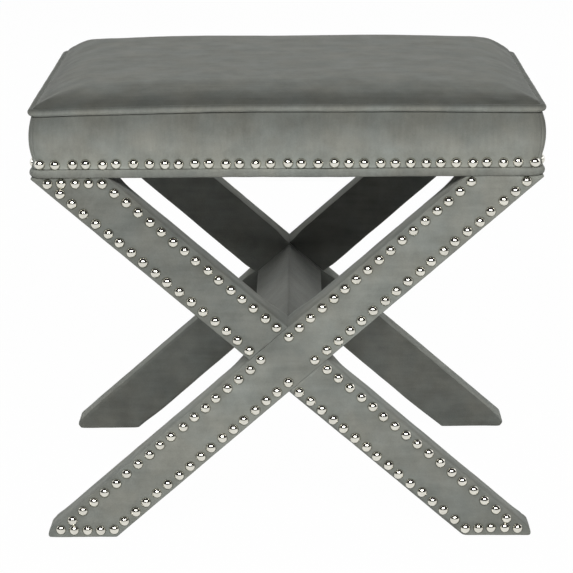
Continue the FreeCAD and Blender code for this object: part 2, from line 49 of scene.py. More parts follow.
# Sizes of the stool, in metres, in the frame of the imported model.
leg_tilt = math.radians(41.06)
cross_height = 0.201
leg_wide = 0.054
leg_deep = 0.048
leg_face = 0.2158
leg_edge_round = 0.005
foot_edge_round = 0.0032
toe_inner_round = 0.0085
toe_reach = 0.2613
rear_toe_reach = 0.2627
top_face_fall = 0.0027
leg_tip_reach = 0.2678
foot_height = 0.0021
seat_height = 0.3996
inner_fullness = 0.0018
leg_length = 0.74
seam_gap = 0.0003
frame_half = Vector((0.2618, 0.2118))
corner_middle = Vector((0.254, 0.204))
band_stand_off = 0.0045
band_swell = 0.0035
band_edge_round = 0.0016
band_back_gap = 0.0003
nail_strip_top = 0.420
bar_across = 0.0512
bar_edge_round = 0.0018
welt_corner = 0.012
nail_head = 0.0115
nail_rise = 0.0036
band_nail_stray = 0.0014
leg_nail_stray = 0.0007
nail_height_stray = 0.0005
nail_lean = 5
dimple_depth = 0.0012
band_dimple_reach = 0.0085
leg_dimple_reach = 0.0088
cushion_half = Vector((0.2660, 0.2137))
cushion_edge = 0.4745
cushion_corner = 0.0120
cushion_swell = 0.0050
crown_rise = 0.0165
crown_top = 0.4932
side_fall = 0.0024
shoulder_wide = 0.028
shoulder_share = 0.78
dome_wide = 0.110
front_corner_droop = (0.0044, 0.0024)
rear_corner_droop = (0.0108, 0.0148)
rear_middle_droop = 0.0055
rear_corner_spread = (0.0022, 0.0036)
seat_depth = 0.44
edge_pull_wide = 0.033
side_fall_from = 0.09
side_fall_wide = 0.13
leg_notch_from = (0.1850, 0.1655)


def ease(share):
    share = min(1.0, max(0.0, share))
    return share * share * (3 - 2 * share)


def rough(point, stretch, seed):
    """Smooth unevenness between -1 and 1, with that many waves to a metre along each axis."""
    where = Vector((point.x * stretch[0], point.y * stretch[1], point.z * stretch[2]))
    return noise.noise(where + Vector((seed, 0, 0)))


def pulled(vert, share):
    """Draws a point of the seat's top edge down, most at the rear corners, and spreads those corners."""
    back = min(1.0, max(0.0, vert.co.y / seat_depth + 0.5))
    side = 0 if vert.co.x < 0 else 1
    out = min(1.0, abs(vert.co.x) / cushion_half.x) ** 2
    corner = front_corner_droop[side] + (rear_corner_droop[side] - front_corner_droop[side]) * back
    middle = rear_middle_droop * back
    vert.co.z -= (middle + (corner - middle) * out) * share
    vert.co.x += math.copysign(rear_corner_spread[side] * back * out * share, vert.co.x)


def verts_of(geometry):
    return [g for g in geometry if isinstance(g, bmesh.types.BMVert)]


def edges_of(geometry):
    return [g for g in geometry if isinstance(g, bmesh.types.BMEdge)]


def drawn_point(bm, vert, way):
    """Draws an edge from a point, straight along way."""
    out = bmesh.ops.extrude_vert_indiv(bm, verts=[vert])
    bmesh.ops.translate(bm, verts=out["verts"], vec=way)
    return out["verts"][0]


def turned_point(bm, vert, middle, axis, angle, steps):
    """Draws an arc from a point, round middle."""
    out = bmesh.ops.spin(bm, geom=[vert], cent=middle, axis=axis, dvec=(0, 0, 0), angle=angle, steps=steps,
                         use_merge=False, use_duplicate=False)
    return verts_of(out["geom_last"])[0]


def drawn_out(bm, edges, way, steps):
    """Draws an outline straight along way and gives its last copy."""
    for _ in range(steps):
        out = bmesh.ops.extrude_edge_only(bm, edges=edges)["geom"]
        fresh = verts_of(out)
        bmesh.ops.translate(bm, verts=fresh, vec=way / steps)
        kept = set(fresh)
        edges = [e for e in edges_of(out) if set(e.verts) <= kept]
    return edges


def turned_out(bm, edges, middle, angle, steps):
    """Draws an outline round an upright line through middle and gives its last copy."""
    corners = list({v: None for e in edges for v in e.verts})
    out = bmesh.ops.spin(bm, geom=corners + edges, cent=middle, axis=(0, 0, 1), dvec=(0, 0, 0), angle=angle,
                         steps=steps, use_merge=False, use_duplicate=False)
    return edges_of(out["geom_last"])


def merged(bm):
    bmesh.ops.remove_doubles(bm, verts=bm.verts, dist=1e-5)
    bmesh.ops.recalc_face_normals(bm, faces=bm.faces)
    bm.normal_update()


def close_ends(bm):
    open_edges = [e for e in bm.edges if e.is_boundary]
    if open_edges:
        bmesh.ops.edgeloop_fill(bm, edges=open_edges)


def cut_away(bm, point, outward):
    """Cuts off what lies beyond a plane and closes the cut."""
    everything = bm.verts[:] + bm.edges[:] + bm.faces[:]
    bmesh.ops.bisect_plane(bm, geom=everything, dist=1e-6, plane_co=point, plane_no=outward, clear_outer=True)
    close_ends(bm)


def sliced(bm, point, across, steps):
    """Adds edge lines where evenly spaced planes cross the shape."""
    for step in steps:
        everything = bm.verts[:] + bm.edges[:] + bm.faces[:]
        bmesh.ops.bisect_plane(bm, geom=everything, dist=1e-5,
                               plane_co=point + across * step, plane_no=across)


def softened(bm, edges, size, segments):
    bmesh.ops.bevel(bm, geom=edges, offset=size, offset_type="OFFSET", affect="EDGES", segments=segments,
                    profile=0.5, material=-1, clamp_overlap=True)


def paint_light_and_shade(bm, shade):
    """Keeps on each point a factor of painted light and shade, which scales the velvet's colour there."""
    nap_and_painted_light = bm.verts.layers.float.new("nap_and_painted_light")
    for vert in bm.verts:
        vert[nap_and_painted_light] = shade(vert)


def piece_from(bm, name, material, nodes):
    mesh = bpy.data.meshes.new(name)
    bm.to_mesh(mesh)
    bm.free()
    piece = bpy.data.objects.new(name, mesh)
    scene.collection.objects.link(piece)
    mesh.materials.append(material)
    mesh.polygons.foreach_set("use_smooth", [True] * len(mesh.polygons))
    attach(piece, "root")
    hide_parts(*nodes)
    return piece


# Finishes.


def finish_base(name):
    """A plain finish to build on, with its nodes and the piece's own coordinates."""
    material = bpy.data.materials.new(name)
    material.use_nodes = True
    tree = material.node_tree
    where = tree.nodes.new("ShaderNodeTexCoord").outputs["Object"]
    return material, tree.nodes, tree.links, tree.nodes["Principled BSDF"], where


def grey(level):
    return (level, level, level)


def greater(nodes, links, first, second):
    """The larger of two values."""
    node = nodes.new("ShaderNodeMath")
    node.operation = "MAXIMUM"
    links.new(first, node.inputs[0])
    links.new(second, node.inputs[1])
    return node.outputs[0]


def noise_of(nodes, links, where, scale, detail, roughness=0.5):
    texture = nodes.new("ShaderNodeTexNoise")
    texture.inputs["Scale"].default_value = scale
    texture.inputs["Detail"].default_value = detail
    texture.inputs["Roughness"].default_value = roughness
    links.new(where, texture.inputs["Vector"])
    return texture.outputs["Fac"]


def stretched(nodes, links, where, scale, turn=(0, 0, 0)):
    mapping = nodes.new("ShaderNodeMapping")
    mapping.inputs["Scale"].default_value = scale
    mapping.inputs["Rotation"].default_value = turn
    links.new(where, mapping.inputs["Vector"])
    return mapping.outputs["Vector"]


def weighed(nodes, links, first, second, weight):
    """First plus weight times (second less one half)."""
    node = nodes.new("ShaderNodeMath")
    node.operation = "MULTIPLY_ADD"
    node.inputs[1].default_value = weight
    links.new(second, node.inputs[0])
    links.new(first, node.inputs[2])
    level = nodes.new("ShaderNodeMath")
    level.operation = "SUBTRACT"
    level.inputs[1].default_value = weight / 2
    links.new(node.outputs[0], level.inputs[0])
    return level.outputs[0]


def ramp_of(nodes, links, value, stops):
    ramp = nodes.new("ShaderNodeValToRGB")
    band = ramp.color_ramp
    while len(band.elements) < len(stops):
        band.elements.new(0.5)
    for element, (place, colour) in zip(band.elements, stops):
        element.position = place
        element.color = (*colour, 1)
    links.new(value, ramp.inputs["Fac"])
    return ramp.outputs["Color"]


def bump_of(nodes, links, height, strength, depth, under=None):
    bump = nodes.new("ShaderNodeBump")
    bump.inputs["Strength"].default_value = strength
    bump.inputs["Distance"].default_value = depth
    links.new(height, bump.inputs["Height"])
    if under:
        links.new(under, bump.inputs["Normal"])
    return bump.outputs["Normal"]


def velvet(name, nap_and_painted_light, turn, deep, pale, streaky=0.55):
    """Short-pile velvet. The second argument is how many streaks of the pile there are to a metre along each
    turned axis. The colour is scaled by painted light and shade kept on the points.
    """
    material, nodes, links, shader, where = finish_base(name)
    cloud = noise_of(nodes, links, where, 38, 4, 0.6)
    streak = noise_of(nodes, links, stretched(nodes, links, where, nap_and_painted_light, turn), 1, 4, 0.6)
    pile = noise_of(nodes, links, where, 620, 3, 0.65)
    tone = weighed(nodes, links, cloud, streak, streaky)
    tone = weighed(nodes, links, tone, pile, 0.35)
    colour = ramp_of(nodes, links, tone, [(0.22, deep), (0.78, pale)])
    # Painted light and shade: the colour is multiplied by the factor kept on each point.
    painted_light_attribute = nodes.new("ShaderNodeAttribute")
    painted_light_attribute.attribute_name = "nap_and_painted_light"
    painted_colour = nodes.new("ShaderNodeVectorMath")
    painted_colour.operation = "SCALE"
    links.new(colour, painted_colour.inputs[0])
    links.new(painted_light_attribute.outputs["Fac"], painted_colour.inputs["Scale"])
    drift = noise_of(nodes, links, where, 26, 3, 0.55)
    tinted = nodes.new("ShaderNodeVectorMath")
    tinted.operation = "MULTIPLY"
    links.new(painted_colour.outputs["Vector"], tinted.inputs[0])
    warmth = ramp_of(nodes, links, drift, [(0.34, (0.975, 1.0, 1.012)), (0.66, (1.018, 1.0, 0.972))])
    links.new(warmth, tinted.inputs[1])
    links.new(tinted.outputs["Vector"], shader.inputs["Base Color"])
    rough_tone = ramp_of(nodes, links, tone, [(0.2, grey(0.96)), (0.8, grey(0.84))])
    links.new(rough_tone, shader.inputs["Roughness"])
    shader.inputs["Specular IOR Level"].default_value = 0.12
    shader.inputs["Sheen Weight"].default_value = 0.17
    shader.inputs["Sheen Roughness"].default_value = 0.40
    shader.inputs["Sheen Tint"].default_value = (0.97, 1.0, 0.94, 1)
    fine = bump_of(nodes, links, pile, 0.28, 0.0006)
    links.new(bump_of(nodes, links, streak, 0.16, 0.0008, fine), shader.inputs["Normal"])
    return material


def nickel():
    material, nodes, links, shader, where = finish_base("polished_nickel")
    cloud = noise_of(nodes, links, where, 140, 3)
    links.new(ramp_of(nodes, links, cloud, [(0.3, (0.63, 0.615, 0.55)), (0.7, (0.75, 0.735, 0.66))]),
              shader.inputs["Base Color"])
    links.new(ramp_of(nodes, links, cloud, [(0.3, grey(0.09)), (0.75, grey(0.17))]),
              shader.inputs["Roughness"])
    shader.inputs["Metallic"].default_value = 1.0
    ripple = noise_of(nodes, links, where, 420, 2)
    links.new(bump_of(nodes, links, ripple, 0.05, 0.0002), shader.inputs["Normal"])
    return material


def planed_wood(name, deep, pale, grain):
    """Bare timber with its grain along the axis that grain stretches."""
    material, nodes, links, shader, where = finish_base(name)
    along = stretched(nodes, links, where, grain)
    figure = noise_of(nodes, links, along, 1, 6, 0.6)
    pores = noise_of(nodes, links, along, 7, 3)
    tone = weighed(nodes, links, figure, pores, 0.4)
    links.new(ramp_of(nodes, links, tone, [(0.25, deep), (0.75, pale)]), shader.inputs["Base Color"])
    links.new(ramp_of(nodes, links, pores, [(0.3, grey(0.52)), (0.7, grey(0.68))]),
              shader.inputs["Roughness"])
    links.new(bump_of(nodes, links, tone, 0.2, 0.0005), shader.inputs["Normal"])
    return material


def zinc_plate():
    material, nodes, links, shader, where = finish_base("zinc_plate")
    spangle = noise_of(nodes, links, where, 500, 3)
    links.new(ramp_of(nodes, links, spangle, [(0.3, (0.46, 0.47, 0.47)), (0.7, (0.62, 0.62, 0.60))]),
              shader.inputs["Base Color"])
    links.new(ramp_of(nodes, links, spangle, [(0.3, grey(0.28)), (0.7, grey(0.42))]),
              shader.inputs["Roughness"])
    shader.inputs["Metallic"].default_value = 1.0
    return material


def glide_plastic():
    material, nodes, links, shader, where = finish_base("glide_plastic")
    grain = noise_of(nodes, links, where, 900, 2)
    links.new(ramp_of(nodes, links, grain, [(0.3, (0.035, 0.035, 0.036)), (0.7, grey(0.055))]),
              shader.inputs["Base Color"])
    links.new(ramp_of(nodes, links, grain, [(0.3, grey(0.45)), (0.7, grey(0.58))]),
              shader.inputs["Roughness"])
    links.new(bump_of(nodes, links, grain, 0.1, 0.0002), shader.inputs["Normal"])
    return material


def dust_cloth():
    material, nodes, links, shader, where = finish_base("non_woven_dust_cloth")
    fibre = noise_of(nodes, links, stretched(nodes, links, where, (300, 900, 300)), 1, 4)
    speck = noise_of(nodes, links, where, 1400, 2)
    tone = weighed(nodes, links, fibre, speck, 0.5)
    links.new(ramp_of(nodes, links, tone, [(0.3, (0.018, 0.018, 0.019)), (0.75, grey(0.05))]),
              shader.inputs["Base Color"])
    links.new(ramp_of(nodes, links, tone, [(0.3, grey(0.95)), (0.7, grey(0.82))]),
              shader.inputs["Roughness"])
    links.new(bump_of(nodes, links, tone, 0.3, 0.0004), shader.inputs["Normal"])
    return material


velvet_deep = (0.143, 0.148, 0.133)
velvet_pale = (0.213, 0.220, 0.199)
seat_velvet = velvet("seat_velvet", (16, 260, 16), (0, 0, 0), velvet_deep, velvet_pale, 0.4)
band_velvet = velvet("band_velvet", (260, 260, 22), (0, 0, 0), velvet_deep, velvet_pale, 0.35)
rising_velvet = velvet("rising_leg_velvet", (14, 90, 120), (0, leg_tilt, 0), velvet_deep, velvet_pale)
falling_velvet = velvet("falling_leg_velvet", (14, 90, 120), (0, -leg_tilt, 0), velvet_deep, velvet_pale)
bar_velvet = velvet("stretcher_velvet", (120, 14, 120), (0, 0, 0), velvet_deep, velvet_pale)
welt_velvet = velvet("welt_velvet", (220, 220, 120), (0, 0, 0), velvet_deep, velvet_pale)
nail_nickel = nickel()
timber = planed_wood("planed_hardwood", (0.36, 0.235, 0.125), (0.56, 0.41, 0.25), (9, 60, 60))
cross_timber = planed_wood("planed_hardwood_crosswise", (0.36, 0.235, 0.125), (0.56, 0.41, 0.25), (60, 9, 60))
plywood = planed_wood("plywood_sheet", (0.48, 0.34, 0.19), (0.66, 0.51, 0.33), (6, 45, 190))
hardware = zinc_plate()
glide_finish = glide_plastic()
dust_finish = dust_cloth()


# Domed nails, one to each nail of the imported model.


def nail_places(node):
    """Low and high corners of each nail of a row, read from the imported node."""
    bm = bmesh.new()
    bm.from_mesh(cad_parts[node].data)
    bmesh.ops.remove_doubles(bm, verts=bm.verts, dist=1e-6)
    waiting = set(bm.verts)
    places = []
    for start in bm.verts[:]:
        if start not in waiting:
            continue
        waiting.remove(start)
        island = [start]
        for vert in island:
            for edge in vert.link_edges:
                other = edge.other_vert(vert)
                if other in waiting:
                    waiting.remove(other)
                    island.append(other)
        low = Vector([min(v.co[i] for v in island) for i in range(3)])
        high = Vector([max(v.co[i] for v in island) for i in range(3)])
        places.append((low, high))
    bm.free()
    return places


def nail_shape():
    """A pressed domed head, turned from an arc, with a short tapered shank."""
    bm = bmesh.new()
    round_of = (nail_head ** 2 / 4 + nail_rise ** 2) / (2 * nail_rise)
    middle = Vector((0, 0, nail_rise - round_of))
    top = bm.verts.new((0, 0, nail_rise))
    rim = turned_point(bm, top, middle, (0, 1, 0), math.asin(nail_head / 2 / round_of), 5)
    drawn_point(bm, rim, Vector((-0.0006, 0, -0.0004)))
    bmesh.ops.spin(bm, geom=bm.verts[:] + bm.edges[:], cent=(0, 0, 0), axis=(0, 0, 1), dvec=(0, 0, 0),
                   angle=math.tau, steps=16, use_merge=True, use_duplicate=False)
    bmesh.ops.remove_doubles(bm, verts=bm.verts, dist=1e-5)
    close_ends(bm)
    bmesh.ops.create_cone(bm, segments=4, radius1=0.0004, radius2=0.0012, depth=0.0110, cap_ends=True,
                          matrix=Matrix.Translation((0, 0, -0.0060)))
    bmesh.ops.recalc_face_normals(bm, faces=bm.faces)
    mesh = bpy.data.meshes.new("nail_shape")
    bm.to_mesh(mesh)
    bm.free()
    return mesh


domed_nail = nail_shape()
nail_spots = {}


def nail_row(node, outward, seed):
    """Every nail of a node, each set a little unevenly as driven by hand."""
    chance = random.Random(seed)
    facing = Vector(outward)
    along = band_nail_stray if "band" in node else leg_nail_stray
    spots = []
    for low, high in nail_places(node):
        middle = (low + high) / 2
        face = max(low.dot(facing), high.dot(facing)) - nail_rise
        spots.append(middle + facing * (face - middle.dot(facing)))
    spots.sort(key=lambda p: (round(p.z, 3), round(p.x, 3), round(p.y, 3)))
    bm = bmesh.new()
    side = Vector((0, 0, 1)).cross(facing)
    placed = []
    for spot in spots:
        first = len(bm.verts)
        bm.from_mesh(domed_nail)
        bm.verts.ensure_lookup_table()
        shift = side * chance.uniform(-along, along)
        shift += Vector((0, 0, chance.uniform(-nail_height_stray, nail_height_stray)))
        sunk = facing * chance.uniform(-0.0003, 0.0001)
        lean = Matrix.Rotation(math.radians(chance.uniform(-nail_lean, nail_lean)), 4, side)
        lean = Matrix.Rotation(math.radians(chance.uniform(-nail_lean, nail_lean)), 4, "Z") @ lean
        stand = facing.to_track_quat("Z", "Y").to_matrix().to_4x4()
        place = Matrix.Translation(spot + shift + sunk) @ lean @ stand
        bmesh.ops.transform(bm, matrix=place, verts=bm.verts[first:])
        placed.append(spot + shift)
    nail_spots[node] = placed
    piece_from(bm, node.replace("nails", "domed_nails"), nail_nickel, [node])


for row, outward, seed in (("front_band_nails", (0, -1, 0), 3), ("rear_band_nails", (0, 1, 0), 5),
                           ("left_band_nails", (-1, 0, 0), 7), ("right_band_nails", (1, 0, 0), 11),
                           ("front_leg_nails", (0, -1, 0), 13), ("rear_leg_nails", (0, 1, 0), 17)):
    nail_row(row, outward, seed)


def dimple(point, spots, reach):
    """How far the cover is pulled in at a point by the nails near it."""
    pull = 0.0
    for spot in spots:
        away = (point - spot).length
        if away < reach:
            pull = max(pull, dimple_depth * ease(1 - away / reach))
    return pull


# Welts.


def welt_ring(name, node, cord, droops, pressed, seed):
    """Piping round the seat. A pressed welt is flatter on its outside and a little taller."""
    low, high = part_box(node)
    size = (high.z - low.z) / 2
    height = (high.z + low.z) / 2
    reach = Vector((high.x - size - welt_corner, high.y - size - welt_corner, 0))
    bm = bmesh.new()
    upright = Matrix.Translation((-reach.x, low.y + size, height)) @ Matrix.Rotation(math.pi / 2, 4, "Y")
    bmesh.ops.create_circle(bm, segments=14, radius=size * 0.99, cap_ends=False, matrix=upright)
    outline = bm.edges[:]
    sides = [((1, -1), (2 * reach.x, 0, 0)), ((1, 1), (0, 2 * reach.y, 0)),
             ((-1, 1), (-2 * reach.x, 0, 0)), ((-1, -1), (0, -2 * reach.y, 0))]
    for corner, way in sides:
        run = Vector(way)
        outline = drawn_out(bm, outline, run, round(run.length / 0.005))
        outline = turned_out(bm, outline, Vector((corner[0] * reach.x, corner[1] * reach.y, height)),
                             math.pi / 2, 8)
    merged(bm)
    for vert in bm.verts:
        swell = (rough(vert.co, (60, 60, 20), seed) * 0.0002
                 + rough(vert.co, (170, 170, 60), seed + 9) * 0.00012)
        vert.co += vert.normal * swell
        out = [max(0.0, abs(vert.co.x) - high.x + size), max(0.0, abs(vert.co.y) - high.y + size)]
        at_corner = (ease((abs(vert.co.x) - reach.x + 0.03) / 0.03)
                     * ease((abs(vert.co.y) - reach.y + 0.03) / 0.03))
        back = pressed * (1 - at_corner)
        vert.co.x -= math.copysign(out[0] * back, vert.co.x)
        vert.co.y -= math.copysign(out[1] * back, vert.co.y)
        vert.co.z += (vert.co.z - height) * 0.3 * pressed
        vert.co.z += rough(vert.co, (9, 9, 0), seed + 4) * 0.0006
        pulled(vert, droops)

    # Painted light and shade: on the top welt upward faces are darker, most at front and back, downward faces
    # paler, and there is painted shadow in the crease along the side welts; the bottom welt is paler on its
    # upward faces.
    def painted_welt_light(vert):
        up = vert.normal.z
        if not droops:
            return 1.0 + 0.25 * max(0.0, up)
        front = ease((abs(vert.co.y) - 0.200) / 0.010)
        crease = 0.35 * ease((up - 0.85) / 0.15) * (1 - front)
        return 1.05 - (0.20 + 0.36 * front) * max(0.0, up) - 0.25 * min(0.0, up) - crease

    bm.normal_update()
    paint_light_and_shade(bm, painted_welt_light)
    piece_from(bm, name, welt_velvet, [node, cord])


welt_ring("top_piping", "top_welt", "top_welt_cord", 1.0, 0.0, 21)
welt_ring("bottom_piping", "bottom_welt", "bottom_welt_cord", 0.0, 0.45, 34)


# Side bands.


def side_band(place, half_run, face, turn, seed):
    """A padded band, drawn along its side and round to each corner's seam, built facing front, then turned."""
    low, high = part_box(place + "_band")
    top, bottom = high.z, low.z
    near = face + band_back_gap
    far = face + band_stand_off
    bm = bmesh.new()
    start = bm.verts.new((-half_run, -near, top))
    rim = band_edge_round
    sideways = (1, 0, 0)
    point = drawn_point(bm, start, Vector((0, near - far + rim, 0)))
    point = turned_point(bm, point, Vector((-half_run, rim - far, top - rim)), sideways, math.pi / 2, 3)
    half_chord = (top - rim - nail_strip_top) / 2
    swell_round = (half_chord ** 2 + band_swell ** 2) / (2 * band_swell)
    middle = Vector((-half_run, swell_round - band_swell - far, nail_strip_top + half_chord))
    point = turned_point(bm, point, middle, sideways, 2 * math.asin(half_chord / swell_round), 16)
    for _ in range(4):
        point = drawn_point(bm, point, Vector((0, 0, (bottom + rim - nail_strip_top) / 4)))
    point = turned_point(bm, point, Vector((-half_run, rim - far, bottom + rim)), sideways, math.pi / 2, 3)
    point = drawn_point(bm, point, Vector((0, far - rim - near, 0)))
    bm.edges.new((point, start))
    outline = bm.edges[:]
    turned_out(bm, outline, Vector((-half_run, -face + (frame_half.x - corner_middle.x), 0)), -math.pi / 4, 5)
    outline = drawn_out(bm, outline, Vector((2 * half_run, 0, 0)), round(2 * half_run / 0.003))
    turned_out(bm, outline, Vector((half_run, -face + (frame_half.x - corner_middle.x), 0)), math.pi / 4, 5)
    close_ends(bm)
    merged(bm)
    bmesh.ops.rotate(bm, verts=bm.verts, cent=(0, 0, 0), matrix=Matrix.Rotation(turn, 3, "Z"))
    bm.normal_update()
    facing = Matrix.Rotation(turn, 3, "Z") @ Vector((0, -1, 0))
    along = Matrix.Rotation(turn, 3, "Z") @ Vector((1, 0, 0))
    spots = nail_spots[place + "_band_nails"]
    for vert in bm.verts:
        if vert.co.dot(facing) < near + 0.0008 and abs(vert.co.dot(along)) < half_run:
            continue
        height = (vert.co.z - bottom) / (top - bottom)
        end = ease(1 - (half_run - abs(vert.co.dot(along))) / 0.05)
        drape = rough(vert.co, (34, 34, 5), seed) * 0.0005 + rough(vert.co, (85, 85, 9), seed + 3) * 0.00022
        drape += end * rough(vert.co, (70, 70, 14), seed + 6) * 0.0007
        pull = dimple(vert.co, spots, band_dimple_reach)
        hem = 0.0
        if height < 0.36:
            hem = max((ease(1 - abs((vert.co - s).dot(along)) / 0.007) for s in spots), default=0) * 0.0005
            hem *= ease((0.36 - height) / 0.16)
        vert.co += vert.normal * (drape * ease(min(height, 1 - height) / 0.2) - pull - hem)
    for vert in bm.verts:
        pulled(vert, (vert.co.z - bottom) / (top - bottom))
    # Painted light and shade: the band is darker at its top, paler towards the bottom and palest along its
    # lower edge.
    paint_light_and_shade(bm, lambda v: 0.69 + 0.62 * ease(1 - (v.co.z - bottom - 0.008) / (top - bottom - 0.008))
               + 0.2 * ease(1 - (v.co.z - bottom) / 0.006))
    piece = piece_from(bm, place + "_side_band", band_velvet,
                       [place + "_band", place + "_band_pad"])


for place, half_run, face, turn, seed in (("front", corner_middle.x, frame_half.y, 0, 41),
                                          ("right", corner_middle.y, frame_half.x, math.pi / 2, 43),
                                          ("rear", corner_middle.x, frame_half.y, math.pi, 47),
                                          ("left", corner_middle.y, frame_half.x, -math.pi / 2, 53)):
    side_band(place, half_run, face, turn, seed)


# Covered legs.


def rounded_corner(vert, first_at, first_out, second_at, second_out, size, along=1):
    """Draws a point near the meeting line of two faces, along that axis, in onto a round of that size."""
    lean = first_out.dot(second_out)
    deep = [first_at.dot(first_out) - size, second_at.dot(second_out) - size]
    share = [(deep[0] - lean * deep[1]) / (1 - lean ** 2), (deep[1] - lean * deep[0]) / (1 - lean ** 2)]
    middle = first_out * share[0] + second_out * share[1]
    away = vert.co - middle
    away[along] = 0
    over = [away.dot(first_out), away.dot(second_out)]
    if over[0] > lean * over[1] + 1e-7 and over[1] > lean * over[0] + 1e-7 and max(over) > 0:
        drawn = middle + away * (max(over) / away.length)
        drawn[along] = vert.co[along]
        vert.co = drawn


leg_middle = Vector((0, -(leg_face - leg_deep / 2), cross_height))
depthwise = Vector((0, 1, 0))


def leg_way(rising):
    return Vector((math.cos(leg_tilt), 0, math.sin(leg_tilt) * (1 if rising else -1)))


def leg_across(rising):
    """Out through a leg's upper face."""
    way = leg_way(rising)
    return Vector((-way.z, 0, way.x))


def leg_shape(rising, half, toe, reach):
    """A leg's block, cut at the floor, its toe and under the seat, and for a lapped leg at the long one."""
    way, across = leg_way(rising), leg_across(rising)
    bm = bmesh.new()
    bmesh.ops.create_cube(bm, size=1, matrix=Matrix.Diagonal((leg_length, leg_deep, leg_wide, 1)))
    tilt = Matrix.Rotation(-leg_tilt if rising else leg_tilt, 4, "Y")
    bmesh.ops.transform(bm, matrix=Matrix.Translation(leg_middle) @ tilt, verts=bm.verts)
    cut_away(bm, Vector((0, 0, seat_height)), Vector((0, 0, 1)))
    cut_away(bm, Vector((0, 0, foot_height)), Vector((0, 0, -1)))
    cut_away(bm, Vector((toe * reach, 0, 0)), Vector((toe, 0, 0)))
    cut_away(bm, Vector((-toe * leg_tip_reach, 0, 0)), Vector((-toe, 0, 0)))
    if half:
        beyond = leg_across(not rising) * (-1 if half == "lower" else 1)
        cut_away(bm, leg_middle + beyond * (leg_wide / 2 + seam_gap), -beyond)
    merged(bm)
    long_edges = [e for e in bm.edges if abs((e.verts[0].co - e.verts[1].co).normalized().dot(way)) > 0.999]
    softened(bm, long_edges, leg_edge_round, 5)
    foot_edges = [e for e in bm.edges if all(v.co.z < foot_height + 1e-5 for v in e.verts)
                  or all(v.co.x * toe > reach - 1e-5 for v in e.verts)]
    softened(bm, foot_edges, foot_edge_round, 4)
    sliced(bm, leg_middle, way, [i * 0.0035 for i in range(-110, 111)])
    sliced(bm, leg_middle, across, [i * 0.0032 for i in range(-6, 7)])
    sliced(bm, leg_middle, depthwise, [i * 0.0038 for i in range(-4, 5)])
    return bm


def round_toe(bm, rising, toe, reach):
    """Rounds a toe's upper and lower edges and its inner upright edge."""
    out, upper, under = Vector((toe, 0, 0)), leg_across(rising), Vector((0, 0, -1))
    sliced(bm, Vector((toe * reach, 0, 0)), -out, [i * 0.0015 for i in range(1, 8)])
    sliced(bm, Vector((0, 0, foot_height)), -under, [i * 0.0010 for i in range(1, 10)])
    tip = Vector((toe * reach, 0, foot_height))
    toe_high = cross_height + leg_wide / 2 / math.cos(leg_tilt) - reach * math.tan(leg_tilt) - foot_height
    upper_round = 0.60 * toe_high / math.tan(math.pi / 4 - leg_tilt / 2)
    lower_round = 0.36 * toe_high
    for vert in bm.verts:
        rounded_corner(vert, tip, out, leg_middle + upper * leg_wide / 2, upper, upper_round)
        rounded_corner(vert, tip, out, tip, under, lower_round)
        rounded_corner(vert, tip, out, leg_middle + depthwise * leg_deep / 2, depthwise, toe_inner_round, 2)


def square_crossing(bm, rising):
    """Draws a through leg's edges out square where the lapped leg's covers butt against it."""
    way, across = leg_way(rising), leg_across(rising)
    window = leg_wide / 2 / math.sin(2 * leg_tilt)
    for vert in bm.verts:
        offset = vert.co - leg_middle
        over_wide = abs(offset.dot(across)) - (leg_wide / 2 - leg_edge_round)
        over_deep = abs(offset.y) - (leg_deep / 2 - leg_edge_round)
        if over_wide > 1e-6 and over_deep > 1e-6:
            squared = (leg_edge_round - 0.0006) / max(over_wide, over_deep)
            share = ease(1 - (abs(offset.dot(way)) - window) / 0.007)
            grow = 1 + share * max(0.0, squared - 1)
            vert.co += across * (math.copysign(over_wide * (grow - 1), offset.dot(across)))
            vert.co.y += math.copysign(over_deep * (grow - 1), offset.y)
    bm.normal_update()


def pucker_leg(bm, rising, spots, seed):
    """Uneven padding, with the nailed face drawn in at its nails and rippled along its edges."""
    across = leg_across(rising)
    nailed_face = leg_middle.y - leg_deep / 2
    for vert in bm.verts:
        offset = vert.co - leg_middle
        ripple = rough(vert.co, (22, 22, 22), seed) * 0.0004 + rough(vert.co, (60, 60, 60), seed + 2) * 0.0002
        edge_hold = 1.0
        if vert.co.y < nailed_face + 0.002:
            edge_hold = ease((leg_wide / 2 - abs(offset.dot(across))) / 0.010)
            by_edge = ease(1 - (leg_wide / 2 - 0.007 - abs(offset.dot(across))) / 0.012)
            ripple += by_edge * rough(vert.co, (90, 0, 90), seed + 5) * 0.00035
            ripple -= dimple(vert.co, spots, leg_dimple_reach)
        vert.co += vert.normal * ripple * (0.35 + 0.65 * edge_hold)


def tilt_upper_face(bm, rising):
    """Lets a front leg's upper face fall to its inner side, clear of the crossing, the foot and the seat."""
    way, across = leg_way(rising), leg_across(rising)
    for vert in bm.verts:
        offset = vert.co - leg_middle
        inner = ease((offset.y + leg_deep / 2 - 0.008) / 0.036)
        inner *= ease((offset.dot(across) - 0.010) / (leg_wide / 2 - 0.010))
        clear = ease((vert.co.z - foot_height) / 0.02) * ease((seat_height - vert.co.z) / 0.02)
        apart = ease((abs(offset.dot(way)) - 0.030) / 0.03)
        vert.co -= across * (top_face_fall * inner * clear * apart)


def fill_inner_side(bm, rising):
    """Pads a rear leg's inner side more along its edges, clear of the crossing, the foot and the seat."""
    way, across = leg_way(rising), leg_across(rising)
    for vert in bm.verts:
        offset = vert.co - leg_middle
        inner = ease((offset.y + leg_deep / 2) / leg_deep)
        rim = ease((abs(offset.dot(across)) - 0.012) / (leg_wide / 2 - 0.012))
        clear = ease((vert.co.z - foot_height) / 0.03) * ease((seat_height - vert.co.z) / 0.03)
        apart = ease((abs(offset.dot(way)) - 0.028) / 0.02)
        vert.co += across * math.copysign(inner_fullness * inner * rim * clear * apart, offset.dot(across))


